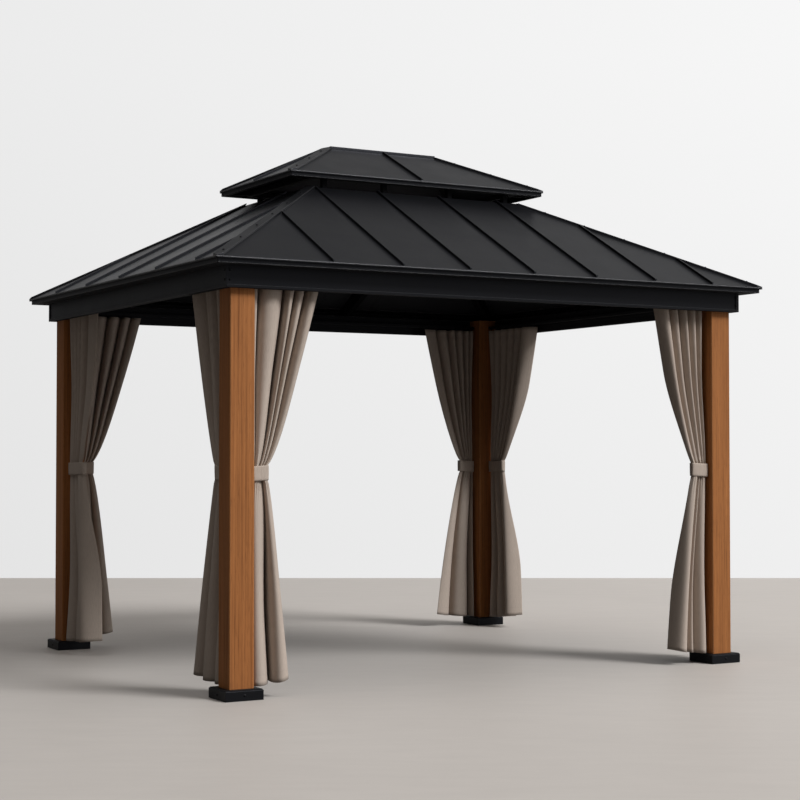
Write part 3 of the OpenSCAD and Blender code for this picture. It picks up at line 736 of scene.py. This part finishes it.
def lay_floor():
    """A square floor in line with the camera, whose far edge meets the background."""
    corners = []
    for ahead, right in ((-FLOOR_AROUND, -1), (-FLOOR_AROUND, 1), (FLOOR_BEHIND, 1), (FLOOR_BEHIND, -1)):
        corner = VIEW_AHEAD * ahead + VIEW_RIGHT * (right * FLOOR_AROUND)
        corners.append((corner.x, corner.y, -FLOOR_DROP))
    finish = stage_material("floor", FLOOR, FLOOR_ROUGHNESS)
    floor = new_mesh("floor", corners, [(0, 1, 2, 3)], finish, round_shaded=False)


def light_world():
    """A pale wall all round for the camera and, dimmer, for reflections, and a fill light apart from it."""
    s = Shader(bpy.data.worlds.new("studio"))
    bpy.context.scene.world = s.owner
    direction = s.add("TexCoord").outputs["Generated"]
    height = s.upward(direction)
    right = s.dot(direction, tuple(VIEW_RIGHT))
    ahead = s.dot(direction, tuple(VIEW_AHEAD))
    wall_light = s.ramp(right, -0.25, 0.25, WALL_LEFT, WALL_RIGHT)
    wall_light = s.times(wall_light, s.ramp(height, -0.06, 0.22, WALL_FOOT, 1.0))
    dim_side = s.ramp(right, -0.45, 0.25, MIRROR_LEFT, 1.0)
    mirrored = s.times(dim_side, s.ramp(height, 0.28, 0.66, 1.0, MIRROR_ABOVE))
    mirrored = s.maths("MAXIMUM", mirrored, s.add("LightPath").outputs["Is Camera Ray"])
    wall = s.add("Background", {"Color": (1.0, 1.0, 1.0), "Strength": s.times(wall_light, mirrored)})
    above = s.times(s.maths("POWER", s.maths("MAXIMUM", height, 0.0), FILL_FOCUS), FILL_ABOVE)
    beside = s.ramp(right, 0.25, 1.0, 0.0, FILL_RIGHT)
    before = s.ramp(ahead, 0.0, -1.0, 0.0, FILL_BEFORE)
    fill_light = s.maths("ADD", above, s.maths("ADD", beside, before))
    fill = s.add("Background", {"Color": FILL_COLOUR, "Strength": fill_light})
    shown = s.add("MixShader", {0: s.seen_ray(), 1: fill.outputs[0], 2: wall.outputs[0]})
    s.put(s.tree.nodes["World Output"].inputs["Surface"], shown.outputs[0])


def add_key():
    """A broad, even key light from the right, a little in front of the gazebo."""
    data = bpy.data.lights.new("key", "SUN")
    data.energy = KEY_POWER
    data.angle = KEY_SOFTNESS
    lamp = bpy.data.objects.new("key", data)
    bpy.context.scene.collection.objects.link(lamp)
    level = VIEW_RIGHT * math.cos(KEY_TURN) + VIEW_AHEAD * math.sin(KEY_TURN)
    source = level * math.cos(KEY_HEIGHT) + Vector((0, 0, math.sin(KEY_HEIGHT)))
    lamp.rotation_euler = source.to_track_quat("Z", "Y").to_euler()


def add_camera():
    data = bpy.data.cameras.new("camera")
    data.lens = CAMERA_LENS
    data.sensor_width = CAMERA_SENSOR
    camera = bpy.data.objects.new("camera", data)
    bpy.context.scene.collection.objects.link(camera)
    camera.location = CAMERA_PLACE
    camera.rotation_euler = (math.pi / 2 + CAMERA_PITCH, 0, -CAMERA_YAW)
    bpy.context.scene.camera = camera


add_camera()
dress_frame()
hung = [Curtain(name, FIRST_SEED + number, *drawn)
        for number, (name, drawn) in enumerate(DRAWN.items())]
hang_curtains(hung)
tie_curtains(hung)
hang_gliders(hung)
drive_screws()
lay_floor()
light_world()
add_key()
bpy.context.scene.view_settings.view_transform = "Standard"
